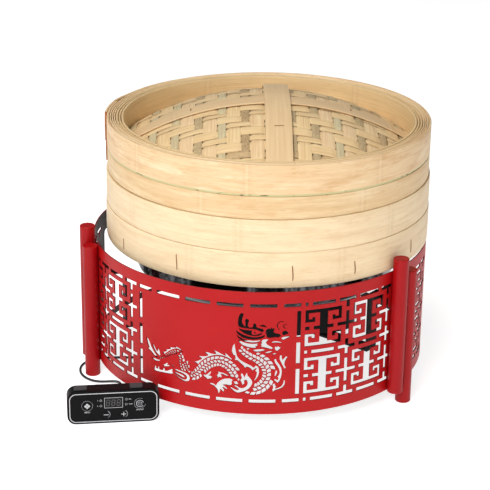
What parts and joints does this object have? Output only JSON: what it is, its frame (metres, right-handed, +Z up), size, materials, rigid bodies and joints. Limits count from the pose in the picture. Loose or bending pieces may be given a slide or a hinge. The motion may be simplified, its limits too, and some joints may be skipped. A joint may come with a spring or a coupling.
{
  "type": "dumpling steamer",
  "caption": "Round bamboo steamer basket with woven lid on a laser-cut sheet-metal ring stand that holds an induction heating unit, a water pan and a wired button controller.",
  "frame": {"origin": "middle of the footprint on the floor, the ring stand's axis lying 10 mm behind it", "axes": "+Z up, -Y towards the side with the picture panel and the controller"},
  "size_m": [0.4253, 0.4796, 0.353],
  "materials": {
    "red_powder": "satin powder coat",
    "black_steel": "semi-gloss black",
    "zinc_steel": "zinc plated",
    "stainless": "polished stainless steel",
    "black_plastic": "moulded, matt",
    "gloss_black": "gloss",
    "black_glass": "gloss black",
    "silver_trim": "satin",
    "grey_plastic": "satin",
    "copper": "enamelled wire",
    "ferrite": "matt",
    "board_green": "solder mask",
    "component": "moulded",
    "aluminium": "extruded",
    "mica": "sheet",
    "rubber": "matt",
    "lens_red": "clear red",
    "lens_clear": "clear",
    "bamboo_lid": "bent bamboo, bare",
    "bamboo_raw": "bamboo skin side",
    "bamboo_basket": "bent bamboo, bare",
    "bamboo_weave": "woven strip",
    "bamboo_strap": "split bamboo",
    "thread": "bamboo thread"
  },
  "bodies": {
    "stand": {"front_panel": "red_powder", "rear_right_panel": "red_powder", "rear_left_panel": "red_powder", "low_posts": "red_powder", "raised_posts": "red_powder", "post_caps": "red_powder", "post_rivets": "zinc_steel", "support_arm_right": "black_steel", "support_arm_left": "black_steel", "support_arm_rear": "black_steel", "support_hub": "black_steel", "hub_screws": "zinc_steel", "link_screws": "black_steel", "unit_base": "black_plastic", "unit_glass_top": "black_glass", "coil_carrier": "mica", "induction_coil": "copper", "ferrite_bars": "ferrite", "temperature_sensor": "aluminium", "main_board": "board_green", "heat_sink": "aluminium", "board_parts": "component", "fan_frame": "black_plastic", "mains_gland": "black_plastic", "unit_feet": "rubber", "unit_gland": "black_plastic", "controller_back_shell": "black_plastic", "controller_front": "gloss_black", "controller_trim": "silver_trim", "display_window": "gloss_black", "digit_display": "lens_red", "indicator_leds": "lens_clear", "controller_board": "board_green", "button_switches": "component", "controller_pads": "grey_plastic", "controller_screws": "zinc_steel", "controller_boot": "rubber", "controller_lead": "rubber"},
    "fan": {"fan_rotor": "black_plastic"},
    "pan": {"water_pan": "stainless"},
    "basket": {"basket_upper_band": "bamboo_basket", "basket_lower_band": "bamboo_basket", "basket_middle_hoop": "bamboo_basket", "basket_inner_hoop": "bamboo_basket", "basket_bearers": "bamboo_raw", "basket_slats": "bamboo_raw", "basket_stitches": "thread"},
    "lid": {"lid_upper_band": "bamboo_lid", "lid_lower_band": "bamboo_raw", "lid_middle_hoop": "bamboo_lid", "lid_inner_hoop": "bamboo_lid", "lid_woven_dome": "bamboo_weave", "lid_cross_strap": "bamboo_strap", "lid_front_back_strap": "bamboo_strap", "lid_stitches": "thread"},
    "menu_key": {"menu_button": "black_plastic"},
    "power_key": {"power_button": "black_plastic"},
    "minus_key": {"minus_button": "black_plastic"},
    "plus_key": {"plus_button": "black_plastic"}
  },
  "joints": [
    {"name": "fan_spin", "type": "hinge", "parent": "stand", "child": "fan", "pos_m": [-0.00971, -0.03976, 0.08], "axis": [0, 0, 1], "continuous": true},
    {"name": "pan_lift", "type": "slide", "parent": "stand", "child": "pan", "axis": [0, 0, 1], "range_m": [0, 0.2]},
    {"name": "basket_lift", "type": "slide", "parent": "pan", "child": "basket", "axis": [0, 0, 1], "range_m": [0, 0.2]},
    {"name": "lid_lift", "type": "slide", "parent": "basket", "child": "lid", "axis": [0, 0, 1], "range_m": [0, 0.25]},
    {"name": "menu_press", "type": "slide", "parent": "stand", "child": "menu_key", "axis": [-0.3338, 0.9426, 0], "range_m": [0, 0.0008], "stiffness_N_per_m": 1500},
    {"name": "power_press", "type": "slide", "parent": "stand", "child": "power_key", "axis": [-0.3338, 0.9426, 0], "range_m": [0, 0.0008], "stiffness_N_per_m": 1500},
    {"name": "minus_press", "type": "slide", "parent": "stand", "child": "minus_key", "axis": [-0.3338, 0.9426, 0], "range_m": [0, 0.0008], "stiffness_N_per_m": 1500},
    {"name": "plus_press", "type": "slide", "parent": "stand", "child": "plus_key", "axis": [-0.3338, 0.9426, 0], "range_m": [0, 0.0008], "stiffness_N_per_m": 1500}
  ]
}
